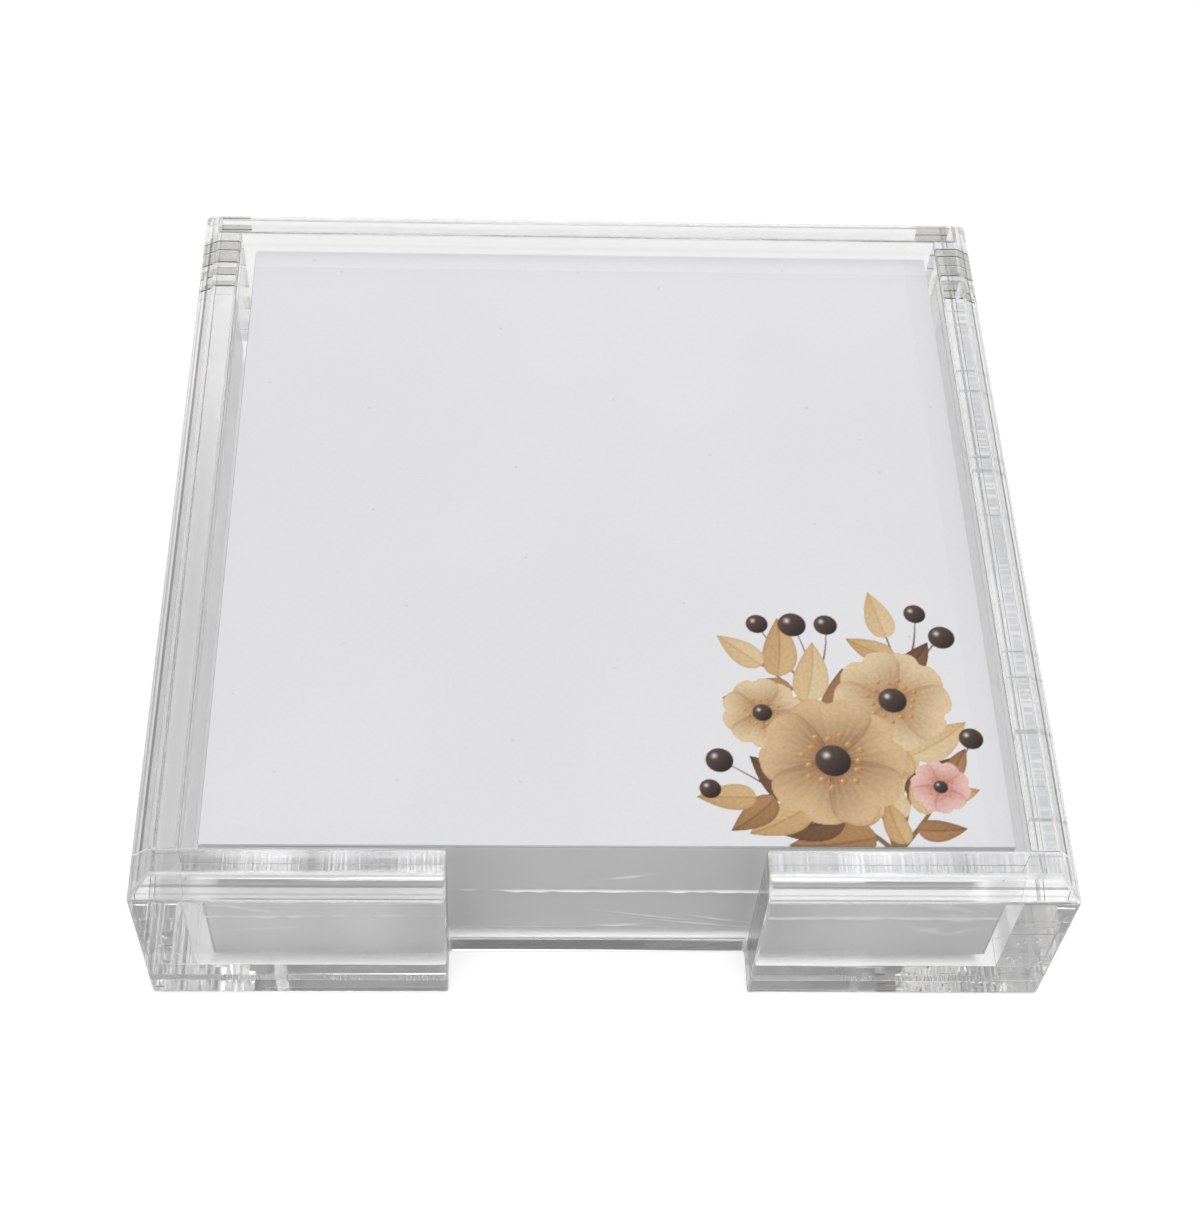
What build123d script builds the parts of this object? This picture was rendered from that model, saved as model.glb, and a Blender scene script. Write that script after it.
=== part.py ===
"""Note card holder: a clear acrylic tray cemented from six pieces, and the stack of loose note cards in it.

Millimetres. The origin is under the middle of the tray, on the surface that it stands on.
+X is to the right, the front with its finger notch faces -Y, and +Z is up.
"""

import os
from math import cos, radians, sin

from build123d import *

# Note cards
card_side = 101.6  # a four inch square card
card_thickness = 0.45  # heavy cover stock
card_count = 50
card_stagger = 0.05  # how far each card lies from true in the knocked-up stack
stagger_turn = 137.5  # degrees from one card's stray to the next one's
stack_shift = 0.4  # the stack lies this far to the right of the tray's middle

# Clear acrylic tray
card_clearance = 1.7  # free play between a true card and each wall
wall_thickness = 6.0
wall_height = 24.6
base_thickness = 4.0
rim_bevel = 2.5  # 45 degree bevel along the outer top edges
finger_notch_width = 39.5

# Half widths of the tray's plan
half_inner = card_side / 2 + card_clearance
half_outer = half_inner + wall_thickness
half_notch = finger_notch_width / 2

os.makedirs("parts", exist_ok=True)


def write(piece, name):
    piece.label = name
    export_step(piece, f"parts/{name}.step")


# Base plate: the whole footprint, notched as deep as the front walls are thick
with BuildPart() as base_plate:
    with BuildSketch(Plane.XY):
        Rectangle(2 * half_outer, 2 * half_outer)
        with Locations((0, -half_outer)):
            Rectangle(finger_notch_width, 2 * wall_thickness, mode=Mode.SUBTRACT)
    extrude(amount=base_thickness)
write(base_plate.part, "base_plate")

# Walls, by the lowest and highest x and y of their plan.
# The back runs the full width, the sides butt between it and the two short front walls.
wall_plans = {
    "back_wall": ((-half_outer, half_outer), (half_inner, half_outer)),
    "left_wall": ((-half_outer, -half_inner), (-half_inner, half_inner)),
    "right_wall": ((half_inner, half_outer), (-half_inner, half_inner)),
    "front_left_wall": ((-half_outer, -half_notch), (-half_outer, -half_inner)),
    "front_right_wall": ((half_notch, half_outer), (-half_outer, -half_inner)),
}
rim_line = half_outer - rim_bevel / 2  # only the outer top edges lie beyond it


def on_rim(edge):
    middle = edge.center()
    return max(abs(middle.X), abs(middle.Y)) > rim_line


for wall_name, ((low_x, high_x), (low_y, high_y)) in wall_plans.items():
    with BuildPart() as wall:
        with BuildSketch(Plane.XY.offset(base_thickness)):
            with Locations(((low_x + high_x) / 2, (low_y + high_y) / 2)):
                Rectangle(high_x - low_x, high_y - low_y)
        extrude(amount=wall_height)
        top_edges = wall.faces().sort_by(Axis.Z)[-1].edges()
        chamfer(top_edges.filter_by(on_rim), rim_bevel)
    write(wall.part, wall_name)

# Note cards: each lies flat on the one below, the lowest on the base
for index in range(card_count):
    stray = radians(stagger_turn * index)
    place = (stack_shift + card_stagger * cos(stray), card_stagger * sin(stray))
    with BuildPart() as note_card:
        with BuildSketch(Plane.XY.offset(base_thickness + index * card_thickness)):
            with Locations(place):
                Rectangle(card_side, card_side)
        extrude(amount=card_thickness)
    write(note_card.part, f"note_card_{index + 1:02d}")
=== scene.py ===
from math import cos, pi, radians, sin

import bpy
import numpy as np
from mathutils import Matrix, Vector

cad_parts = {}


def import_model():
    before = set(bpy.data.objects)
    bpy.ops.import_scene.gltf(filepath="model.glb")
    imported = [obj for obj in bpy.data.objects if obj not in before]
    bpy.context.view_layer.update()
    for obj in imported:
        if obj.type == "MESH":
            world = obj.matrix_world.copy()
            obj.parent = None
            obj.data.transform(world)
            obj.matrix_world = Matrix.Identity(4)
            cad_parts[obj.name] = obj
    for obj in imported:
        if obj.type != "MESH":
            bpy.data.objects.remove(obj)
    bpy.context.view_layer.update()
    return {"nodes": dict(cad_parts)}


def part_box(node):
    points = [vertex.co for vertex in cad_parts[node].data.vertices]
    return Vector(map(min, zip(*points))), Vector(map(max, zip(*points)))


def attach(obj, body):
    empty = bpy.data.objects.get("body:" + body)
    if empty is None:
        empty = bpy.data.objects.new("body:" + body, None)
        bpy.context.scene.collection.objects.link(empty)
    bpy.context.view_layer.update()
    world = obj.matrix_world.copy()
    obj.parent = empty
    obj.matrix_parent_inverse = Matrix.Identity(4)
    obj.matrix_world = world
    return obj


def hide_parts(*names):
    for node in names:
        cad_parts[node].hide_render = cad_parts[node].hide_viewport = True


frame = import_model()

mm = 0.001  # one millimetre in scene units
tolerance = 0.001 * mm  # places closer than this are the same
scene = bpy.context.scene
scene.view_settings.view_transform = "Standard"


def linearColour(hexText):
    # sRGB hex to linear: x/12.92 below 0.04045, ((x+0.055)/1.055)^2.4 above
    srgb = np.array([int(hexText[i:i + 2], 16) for i in (1, 3, 5)]) / 255
    linear = np.where(srgb <= 0.04045, srgb / 12.92, ((srgb + 0.055) / 1.055) ** 2.4)
    return (*linear.tolist(), 1.0)


def addNode(tree, kind, inputs=None, **settings):
    # one node: settings are its attributes, inputs are socket values or links from other sockets
    node = tree.nodes.new(kind)
    for key, value in settings.items():
        setattr(node, key, value)
    for key, value in (inputs or {}).items():
        if isinstance(value, bpy.types.NodeSocket):
            tree.links.new(value, node.inputs[key])
        else:
            node.inputs[key].default_value = value
    return node


def ends(reach, levels=(0.0, 1.0)):
    # inputs of a range: the value's two ends, and the levels that stand for them
    return {"From Min": reach[0], "From Max": reach[1], "To Min": levels[0], "To Max": levels[1]}


def grain(tree, size, detail, axis=None):
    # noise of a real size over the piece's own place, or along one axis of it alone
    place = addNode(tree, "ShaderNodeTexCoord").outputs["Object"]
    inputs = {"Scale": 1 / size, "Detail": detail}
    if axis:
        inputs["W"] = addNode(tree, "ShaderNodeSeparateXYZ", {0: place}).outputs[axis]
    else:
        inputs["Vector"] = place
    return addNode(tree, "ShaderNodeTexNoise", inputs, noise_dimensions="1D" if axis else "3D").outputs["Fac"]


def newMaterial(name):
    # an empty node material, with its tree and its output
    material = bpy.data.materials.new(name)
    material.use_nodes = True
    tree = material.node_tree
    tree.nodes.clear()
    return material, tree, addNode(tree, "ShaderNodeOutputMaterial")


def newPiece(name, vertices, faces, materials, faceMaterial=None):
    # mesh object at the origin, its place in its mesh
    mesh = bpy.data.meshes.new(name)
    mesh.from_pydata(vertices.tolist(), [], faces)
    for material in materials:
        mesh.materials.append(material)
    if faceMaterial is not None:
        mesh.polygons.foreach_set("material_index", np.asarray(faceMaterial, np.int32))
    mesh.update()
    piece = bpy.data.objects.new(name, mesh)
    scene.collection.objects.link(piece)
    return piece


def setValues(piece, name, values):
    # one number at each point of the mesh, for its material to read
    attribute = piece.data.attributes.new(name, "FLOAT", "POINT")
    attribute.data.foreach_set("value", np.ravel(values).astype(np.float32))


# Materials

# In each finish, a reach is the stretch of a noise over which its effect goes from one end to the other.

acrylicIor = 1.491

# sheet faces, flame and buff polished: clear, with sharp reflections and faint haze here and there
polishedFinish = {
    "tint": "#FDFDFD",
    "roughness": (0.0, 0.02),
    "grain": 14 * mm,  # patches of finger haze on the polish
    "reach": (0.45, 0.75),
    "detail": 3.0,
}

# edges rounded off on the buffing wheel: softer than the faces, so they draw even pale lines
buffedFinish = {
    "tint": "#F6F6F4",
    "roughness": (0.12, 0.22),
    "grain": 5 * mm,  # scuffs
    "reach": (0.3, 0.7),
    "detail": 2.0,
}

# the notch's cheeks, sawn and only lightly polished, with an upright grain, and tinted grey as painted shade
# that darkens them against the rest
sawnShadedEndFinish = {
    # grey tint: painted shade
    "tint": "#929290",
    "roughness": (0.05, 0.35),
    "grain": 0.4 * mm,
    "axis": "Y",  # the grain changes along this alone
    "reach": (0.3, 0.7),
    "detail": 2.0,
}

# cut faces inside the seams
seamFinish = {
    "sawLine": 0.3 * mm,  # spacing of the saw's tooth marks
    "sawReach": (0.4, 0.6),
    "sawLeast": 0.35,  # depth that is left between two marks
    "sawStretch": 16 * mm,  # the marks stay dry in stretches about this long
    "stretchReach": (0.4, 0.55),
    "dryMargin": (1.7 * mm, 2.3 * mm),  # the cement stops this far from the outer side
    "dryDepth": {"front_left_wall": 0.9, "front_right_wall": 0.9, "right_wall": 0.25},
    "score": 1.4 * mm,  # spacing from one stray score across the strip to the next
    "scoreReach": (0.66, 0.68),
    "scoreDepth": {"right_wall": 0.5},
    "markDetail": 2.0,
    "whiteShare": 0.5,  # how far a full mark turns from rough to white
    "speck": 0.8 * mm,
    "hazeDark": "#C2C0B8",
    "hazePale": "#F2F2F0",
    "hazeDetail": 2.0,
    "hazeRoughness": 0.08,
    "dustDark": "#6A6A68",
    "dustPale": "#B8B8B4",
    "dustDetail": 3.0,
    "dustRoughness": 0.6,
}

# rims, cut by a router and buffed
rimFinish = {
    # dark lines painted along the bevel as the shade seen through it: height above the floor and half width
    # in mm, and depth
    "lines": [(26.75, 0.07, 0.5), (27.45, 0.10, 0.9), (27.75, 0.20, 0.35), (28.40, 0.07, 0.7)],
    "lineColour": "#4A4A48",
    # how wide and how deep the painted dark lines are on each wall
    "lineSpread": {"left_wall": 1.7, "right_wall": 1.5},
    "lineDepth": {"front_left_wall": 0.75, "front_right_wall": 0.8, "back_wall": 0.7},
    # saw chatter across the tops, clear ticks in a strip of painted bluish grey shade: its pitch and the
    # strip's reach from the outer side in mm, depth, and cover: at 0 it comes and goes, at 0.3 it runs the
    # whole length
    "chatter": {
        "right_wall": {"pitch": 0.7, "strip": (1.9, 4.1), "depth": 0.7, "cover": 0.0},
        "front_left_wall": {"pitch": 0.5, "strip": (2.7, 5.6), "depth": 0.36, "cover": 0.3},
        "front_right_wall": {"pitch": 0.5, "strip": (2.7, 5.6), "depth": 0.6, "cover": 0.3},
    },
    "noChatter": {"pitch": 1.0, "strip": (0.0, 1.0), "depth": 0.0, "cover": 0.0},
    # bluish grey of the chatter strip: painted shade
    "chatterColour": "#B4BAC4",
    "tickReach": (0.5, 0.58),
    "tickDetail": 1.0,
    "stretch": 12.0,  # it comes and goes over this many of its own pitches
    "stretchReach": (0.4, 0.6),
    "stripHalf": 0.42,  # share of the strip's width on each side of its middle that is in full
    "fade": 1.5,  # a line or strip is gone at this many of its half widths
}


def castAcrylic(name, finish):
    # cast acrylic sheet: clear, its roughness rising and falling with a grain
    material, tree, out = newMaterial(name)
    rough = addNode(tree, "ShaderNodeMapRange", {
        "Value": grain(tree, finish["grain"], finish["detail"], finish.get("axis")),
        **ends(finish["reach"], finish["roughness"])})
    shader = addNode(tree, "ShaderNodeBsdfPrincipled", {
        "Base Color": linearColour(finish["tint"]), "IOR": acrylicIor, "Transmission Weight": 1.0,
        "Roughness": rough.outputs["Result"]})
    tree.links.new(shader.outputs["BSDF"], out.inputs["Surface"])
    return material


def castAcrylicSawn():
    # the cemented bottoms: clear where the cement wetted them, frosted saw marks in the dry margin,
    # a few white scores
    material, tree, out = newMaterial("castAcrylicSawn")
    along, into, depth, scored = (addNode(tree, "ShaderNodeAttribute", attribute_name=name).outputs["Fac"]
                                  for name in ("alongStrip", "intoWall", "dryDepth", "scoreDepth"))

    def scratches(spacing, reach, least=0.0):
        # lines across the strip, with this much left between them
        noise = addNode(tree, "ShaderNodeTexNoise", {
            "W": along, "Scale": 1 / spacing, "Detail": seamFinish["markDetail"]}, noise_dimensions="1D")
        return addNode(tree, "ShaderNodeMapRange", {
            "Value": noise.outputs["Fac"], **ends(reach, (least, 1.0))}).outputs["Result"]

    lines = scratches(seamFinish["sawLine"], seamFinish["sawReach"], seamFinish["sawLeast"])
    stretches = scratches(seamFinish["sawStretch"], seamFinish["stretchReach"])
    margin = addNode(tree, "ShaderNodeMapRange", {
        "Value": into, **ends(seamFinish["dryMargin"], (1.0, 0.0))}).outputs["Result"]
    dry = depth
    for share in (lines, stretches, margin):
        dry = addNode(tree, "ShaderNodeMath", {0: dry, 1: share}, operation="MULTIPLY").outputs[0]
    scores = addNode(tree, "ShaderNodeMath", {
        0: scratches(seamFinish["score"], seamFinish["scoreReach"]), 1: scored}, operation="MULTIPLY")
    frost = addNode(tree, "ShaderNodeMath", {0: dry, 1: scores.outputs[0]}, operation="MAXIMUM").outputs[0]
    clear = addNode(tree, "ShaderNodeMath", {0: frost, 1: -seamFinish["whiteShare"], 2: 1.0},
                    operation="MULTIPLY_ADD")
    shader = addNode(tree, "ShaderNodeBsdfPrincipled", {
        "Base Color": linearColour(polishedFinish["tint"]), "IOR": acrylicIor,
        "Transmission Weight": clear.outputs[0], "Roughness": frost})
    tree.links.new(shader.outputs["BSDF"], out.inputs["Surface"])
    return material


def castAcrylicRouted():
    # the rim, routed and buffed: clear, with thin dark lines painted along the bevel as shade, and across
    # some of the tops saw chatter ticks in a strip of painted bluish grey shade
    material, tree, out = newMaterial("castAcrylicRouted")
    place = addNode(tree, "ShaderNodeTexCoord").outputs["Object"]
    height = addNode(tree, "ShaderNodeSeparateXYZ", {0: place}).outputs["Z"]
    turns, into, depth, cover, lineSpread, lineDepth = (
        addNode(tree, "ShaderNodeAttribute", attribute_name=name).outputs["Fac"]
        for name in ("chatterTurns", "intoStrip", "chatterDepth", "chatterCover", "lineSpread", "lineDepth"))

    def near(value, middle, half, level, spread=1.0):
        # the level within half of the middle, then fading out, all of it spread
        away = addNode(tree, "ShaderNodeMath", {0: value, 1: middle}, operation="SUBTRACT").outputs[0]
        away = addNode(tree, "ShaderNodeMath", {0: away}, operation="ABSOLUTE").outputs[0]
        away = addNode(tree, "ShaderNodeMath", {0: away, 1: spread}, operation="DIVIDE").outputs[0]
        return addNode(tree, "ShaderNodeMapRange", {
            "Value": away, **ends((half, rimFinish["fade"] * half), (level, 0.0))}).outputs["Result"]

    def ticks(scale, reach, lift=0.0):
        # marks across the strip, this many to a pitch, more of them where the noise is lifted
        noise = addNode(tree, "ShaderNodeTexNoise", {
            "W": turns, "Scale": scale, "Detail": rimFinish["tickDetail"]}, noise_dimensions="1D")
        lifted = addNode(tree, "ShaderNodeMath", {0: noise.outputs["Fac"], 1: lift}).outputs[0]
        return addNode(tree, "ShaderNodeMapRange", {"Value": lifted, **ends(reach)}).outputs["Result"]

    bright = addNode(tree, "ShaderNodeMath", {
        0: ticks(1.0, rimFinish["tickReach"]),
        1: ticks(1 / rimFinish["stretch"], rimFinish["stretchReach"], cover)}, operation="MULTIPLY")
    chatter = addNode(tree, "ShaderNodeMath", {0: 1.0, 1: bright.outputs[0]},
                      operation="SUBTRACT").outputs[0]
    for share in (near(into, 0.5, rimFinish["stripHalf"], 1.0), depth):
        chatter = addNode(tree, "ShaderNodeMath", {0: chatter, 1: share}, operation="MULTIPLY").outputs[0]
    # the chatter strip's bluish grey is painted shade
    layers = [(chatter, rimFinish["chatterColour"])]
    # painted shade: dark lines tinted into the bevel at set heights
    for level, half, strength in rimFinish["lines"]:
        line = near(height, level * mm, half * mm, strength, lineSpread)
        deep = addNode(tree, "ShaderNodeMath", {0: line, 1: lineDepth}, operation="MULTIPLY").outputs[0]
        layers.append((deep, rimFinish["lineColour"]))
    colour = linearColour(polishedFinish["tint"])
    for share, hexText in layers:
        colour = addNode(tree, "ShaderNodeMix", {"Factor": share, "A": colour, "B": linearColour(hexText)},
                         data_type="RGBA").outputs["Result"]
    shader = addNode(tree, "ShaderNodeBsdfPrincipled", {
        "Base Color": colour, "IOR": acrylicIor, "Transmission Weight": 1.0, "Roughness": 0.0})
    tree.links.new(shader.outputs["BSDF"], out.inputs["Surface"])
    return material


def hazyCement():
    # solvent cement over saw marks: see-through, a little grey, with a level grain
    material, tree, out = newMaterial("solventCementHazy")
    colour = addNode(tree, "ShaderNodeMix", {
        "Factor": grain(tree, seamFinish["speck"], seamFinish["hazeDetail"], "Z"),
        "A": linearColour(seamFinish["hazeDark"]), "B": linearColour(seamFinish["hazePale"])},
        data_type="RGBA")
    shader = addNode(tree, "ShaderNodeBsdfPrincipled", {
        "Base Color": colour.outputs["Result"], "IOR": acrylicIor, "Transmission Weight": 1.0,
        "Roughness": seamFinish["hazeRoughness"]})
    tree.links.new(shader.outputs["BSDF"], out.inputs["Surface"])
    return material


def dustyCement():
    # solvent cement with sawdust in it, dried grey: thin dull lines across the clear seam
    material, tree, out = newMaterial("solventCementDusty")
    colour = addNode(tree, "ShaderNodeMix", {
        "Factor": grain(tree, seamFinish["speck"], seamFinish["dustDetail"]),
        "A": linearColour(seamFinish["dustDark"]), "B": linearColour(seamFinish["dustPale"])},
        data_type="RGBA")
    shader = addNode(tree, "ShaderNodeBsdfPrincipled", {
        "Base Color": colour.outputs["Result"], "IOR": acrylicIor, "Roughness": seamFinish["dustRoughness"]})
    tree.links.new(shader.outputs["BSDF"], out.inputs["Surface"])
    return material


cardFinish = {
    "white": "#EDEDF0",
    "shade": "#E3E3E6",
    "fibre": 0.35 * mm,
    "fibreDetail": 4.0,
    "roughness": 0.55,
}


def coverStock():
    # smooth uncoated cover stock: soft white, fine fibre, each cut edge a shade apart from its neighbours
    material, tree, out = newMaterial("coverStock")
    colour = addNode(tree, "ShaderNodeMix", {
        "Factor": grain(tree, cardFinish["fibre"], cardFinish["fibreDetail"]),
        "A": linearColour(cardFinish["white"]), "B": linearColour(cardFinish["shade"])},
        data_type="RGBA")
    shader = addNode(tree, "ShaderNodeBsdfPrincipled", {
        "Base Color": colour.outputs["Result"], "Roughness": cardFinish["roughness"]})
    tree.links.new(shader.outputs["BSDF"], out.inputs["Surface"])
    return material


polished = castAcrylic("castAcrylicPolished", polishedFinish)
sawn = castAcrylicSawn()
routed = castAcrylicRouted()
sawnShadedEnd = castAcrylic("castAcrylicSawnEnd", sawnShadedEndFinish)
buffed = castAcrylic("castAcrylicBuffed", buffedFinish)
cardPaper = coverStock()
print("materials made")

# Acrylic tray

trayShape = {
    "edgeBreak": 0.4 * mm,  # the polish rounds every open edge by this
    "seamBreak": 0.2,  # and a cemented one by this share of it
    "edgeSegments": 3,
    "cementBite": 0.02 * mm,  # cemented pieces run this far into each other, so no air shows between them
    "dryGap": 0.02 * mm,  # thickness of the air in the seam behind the side walls, where no cement reached
    "seamReach": 0.1 * mm,  # an edge this near to a seam belongs to it
    "airUnderCards": 0.02 * mm,  # from the base's top to the lowest card, so that it mirrors as a free face
    "seamFacing": -0.9,  # a wall's face that looks down further than this is cemented
    "rimFacing": 0.1,  # and one that looks up further than this belongs to the rim
}


def stackRings(rings):
    # closed solid: each ring of corners joined to the next by quads, the first and last closed by a cap
    count, corners = rings.shape[:2]
    first = np.arange(corners)
    following = np.roll(first, -1)
    walls = [np.stack([first + k, following + k, following + k + corners, first + k + corners], 1)
             for k in range(0, (count - 1) * corners, corners)]
    faces = np.concatenate(walls).tolist()
    faces.append(first[::-1].tolist())
    faces.append((first + (count - 1) * corners).tolist())
    return rings.reshape(-1, 3), faces


def breakEdges(piece, vertices):
    # each edge by the place of its middle: cemented on the base's top and at the side walls' ends,
    # open elsewhere
    pairs = np.zeros(2 * len(piece.data.edges), np.int32)
    piece.data.edges.foreach_get("vertices", pairs)
    x, y, z = np.abs(vertices[pairs.reshape(-1, 2)].mean(1)).T
    close = trayShape["seamReach"]
    onBase = (np.abs(z - baseHigh.z) < close) & ((x > -notchSide - close) | (y < -notchBack - close))
    atEnd = (np.abs(y + notchBack) < close) & (x > -notchBack - close)
    share = np.where(onBase | atEnd, trayShape["seamBreak"], 1.0).astype(np.float32)
    piece.data.attributes.new("bevel_weight_edge", "FLOAT", "EDGE").data.foreach_set("value", share)
    bevel = piece.modifiers.new("edgeBreak", "BEVEL")
    bevel.width = trayShape["edgeBreak"]
    bevel.segments = trayShape["edgeSegments"]
    bevel.limit_method = "WEIGHT"
    bevel.material = len(piece.data.materials) - 1


baseLow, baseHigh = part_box("base_plate")
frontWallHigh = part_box("front_left_wall")[1]
halfOuter = baseHigh.x
notchSide = frontWallHigh.x  # the left cheek of the finger notch
notchBack = frontWallHigh.y  # the base's front edge in the notch
leftWall = np.array([v.co for v in frame["nodes"]["left_wall"].data.vertices])
rimBevel = leftWall[leftWall[:, 2] > leftWall[:, 2].max() - tolerance, 0].min() - leftWall[:, 0].min()


def basePlate():
    # the footprint's outline with its notch, carried from the underside to the top
    outline = np.array([
        (-halfOuter, -halfOuter), (notchSide, -halfOuter), (notchSide, notchBack), (-notchSide, notchBack),
        (-notchSide, -halfOuter), (halfOuter, -halfOuter), (halfOuter, halfOuter), (-halfOuter, halfOuter)])
    top = baseHigh.z - trayShape["airUnderCards"]
    rings = np.array([np.c_[outline, np.full(len(outline), z)] for z in (baseLow.z, top)])
    vertices, faces = stackRings(rings)
    piece = newPiece("basePlateAcrylic", vertices, faces, [polished, buffed])
    breakEdges(piece, vertices)
    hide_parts("base_plate")
    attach(piece, "tray")


def wall(name, node):
    # four corners carried up: the full plan to where the bevel starts, then drawn in by the bevel
    # on the outer sides
    low, high = (np.array(corner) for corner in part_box(node))
    bite = trayShape["cementBite"]
    rimLine = halfOuter - tolerance
    onRim = np.array([low[0] < -rimLine, high[0] > rimLine, low[1] < -rimLine, high[1] > rimLine])
    isSide = not onRim[2:].any()
    inset = rimBevel * onRim
    low[2] -= bite + trayShape["airUnderCards"]
    if isSide:
        low[1] -= bite
        high[1] -= trayShape["dryGap"]

    def ring(z, inset):
        x0, x1 = low[0] + inset[0], high[0] - inset[1]
        y0, y1 = low[1] + inset[2], high[1] - inset[3]
        return [(x0, y0, z), (x1, y0, z), (x1, y1, z), (x0, y1, z)]

    rings = np.array([ring(low[2], 0 * inset), ring(high[2] - rimBevel, 0 * inset), ring(high[2], inset)])
    vertices, faces = stackRings(rings)
    piece = newPiece(name, vertices, faces, [polished, sawn, routed, sawnShadedEnd, buffed])
    facing = np.zeros(3 * len(faces), np.float32)
    piece.data.polygons.foreach_get("normal", facing)
    upward = facing.reshape(-1, 3)[:, 2]
    inNotch = np.array([np.abs(vertices[face, 0]).max() < -notchSide + tolerance for face in faces])
    finish = np.where(inNotch, 3, 0)  # places in the list of materials
    finish[upward > trayShape["rimFacing"]] = 2
    finish[upward < trayShape["seamFacing"]] = 1
    piece.data.polygons.foreach_set("material_index", finish.astype(np.int32))
    across = 0 if isSide else 1
    along = vertices[:, 1 - across]
    into = halfOuter - np.abs(vertices[:, across])
    chatter = rimFinish["chatter"].get(node, rimFinish["noChatter"])
    stripLow, stripHigh = chatter["strip"]
    marks = {
        "alongStrip": along,
        "intoWall": into,
        "chatterTurns": along / mm / chatter["pitch"],
        "intoStrip": (into / mm - stripLow) / (stripHigh - stripLow),
        "chatterDepth": chatter["depth"],
        "chatterCover": chatter["cover"],
        "lineSpread": rimFinish["lineSpread"].get(node, 1.0),
        "lineDepth": rimFinish["lineDepth"].get(node, 1.0),
        "dryDepth": seamFinish["dryDepth"].get(node, 0.0),
        "scoreDepth": seamFinish["scoreDepth"].get(node, 0.0),
    }
    for key, values in marks.items():
        setValues(piece, key, np.broadcast_to(values, len(vertices)))
    breakEdges(piece, vertices)
    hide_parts(node)
    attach(piece, "tray")


# bars of cement in the seams behind the side walls, by their upper and lower heights in mm,
# all below the bevel
cementBars = {
    "left_wall": [(25.4, 25.1), (25.1, 21.9), (21.9, 21.6), (21.0, 17.2), (17.2, 16.8), (14.8, 12.2),
                  (12.2, 11.9), (9.3, 7.7), (7.7, 7.3)],
    "right_wall": [(25.9, 25.6), (25.6, 23.0), (23.0, 22.7), (22.3, 19.4), (19.4, 19.2), (18.7, 15.2),
                   (15.2, 14.9), (13.0, 9.1), (9.1, 8.8), (8.6, 6.1), (6.1, 5.7)],
}
dustyLine = 0.5  # mm, a bar lower than this is a line of grey dust in the cement


def seamCement():
    # slabs, as wide as the wall and as deep as the dry gap with a bite into both sides
    vertices, faces, dusty = [], [], []
    depth = trayShape["cementBite"]
    for node, bars in cementBars.items():
        low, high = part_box(node)
        x0, x1 = low.x + trayShape["edgeBreak"], high.x - trayShape["edgeBreak"]
        y0, y1 = high.y - trayShape["dryGap"] - depth, high.y + depth
        plan = np.array([(x0, y0), (x1, y0), (x1, y1), (x0, y1)])
        for top, bottom in bars:
            rings = np.array([np.c_[plan, np.full(4, z * mm)] for z in (bottom, top)])
            corners, quads = stackRings(rings)
            faces += [[k + len(corners) * len(vertices) for k in quad] for quad in quads]
            dusty += [top - bottom < dustyLine] * len(quads)
            vertices.append(corners)
    piece = newPiece("seamCement", np.concatenate(vertices), faces, [hazyCement(), dustyCement()], dusty)
    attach(piece, "tray")


basePlate()
seamCement()
for node in ("back_wall", "left_wall", "right_wall", "front_left_wall", "front_right_wall"):
    words = node.split("_")
    wall(words[0] + "".join(word.title() for word in words[1:]) + "Acrylic", node)
print("tray built, rim bevel", round(rimBevel / mm, 2), "mm")

# Trapped air in the cement

bubbleShape = {
    "seed": 21,
    "count": 14,  # at each front corner
    "radius": (0.14 * mm, 0.34 * mm),
    "across": (0.1, 0.9),  # shares of the wall's thickness between which they lie, from the outer side
    "reach": (4.4 * mm, 13.0 * mm),  # and heights above the floor
    "sunk": 1.5,  # radii from the seam to the middle of a bead
    "rings": 6,
    "sides": 8,
    "colour": "#F2F2F2",
    "roughness": (0.02, 0.12),
    "detail": 2.0,
}


def trappedAir():
    # air caught in a seam mirrors all round, so it shows as silver beads
    material, tree, out = newMaterial("trappedAir")
    rough = addNode(tree, "ShaderNodeMapRange", {
        "Value": grain(tree, bubbleShape["radius"][0], bubbleShape["detail"]),
        **ends((0.0, 1.0), bubbleShape["roughness"])})
    shader = addNode(tree, "ShaderNodeBsdfPrincipled", {
        "Base Color": linearColour(bubbleShape["colour"]), "Metallic": 1.0,
        "Roughness": rough.outputs["Result"]})
    tree.links.new(shader.outputs["BSDF"], out.inputs["Surface"])
    return material


def ballGrid(centres, radii, rings, sides):
    # balls: latitude by longitude on each, poles closed by fans
    latitude = np.linspace(0, pi, rings + 1)[1:-1]
    longitude = np.linspace(0, 2 * pi, sides, endpoint=False)
    lat, lon = np.meshgrid(latitude, longitude, indexing="ij")
    unit = np.stack([np.sin(lat) * np.cos(lon), np.sin(lat) * np.sin(lon), np.cos(lat)], -1).reshape(-1, 3)
    unit = np.concatenate([unit, [(0, 0, 1), (0, 0, -1)]])
    index = np.arange((rings - 1) * sides).reshape(rings - 1, sides)
    after = np.roll(index, -1, 1)
    quads = np.stack([index[:-1], index[1:], after[1:], after[:-1]], -1).reshape(-1, 4)
    top, bottom = len(unit) - 2, len(unit) - 1
    caps = [(top, a, b) for a, b in zip(index[0], after[0])]
    caps += [(bottom, b, a) for a, b in zip(index[-1], after[-1])]
    faces = quads.tolist() + caps
    vertices = centres[:, None] + radii[:, None, None] * unit
    shifted = [[int(k + n * len(unit)) for k in face] for n in range(len(centres)) for face in faces]
    return vertices.reshape(-1, 3), shifted


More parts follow.
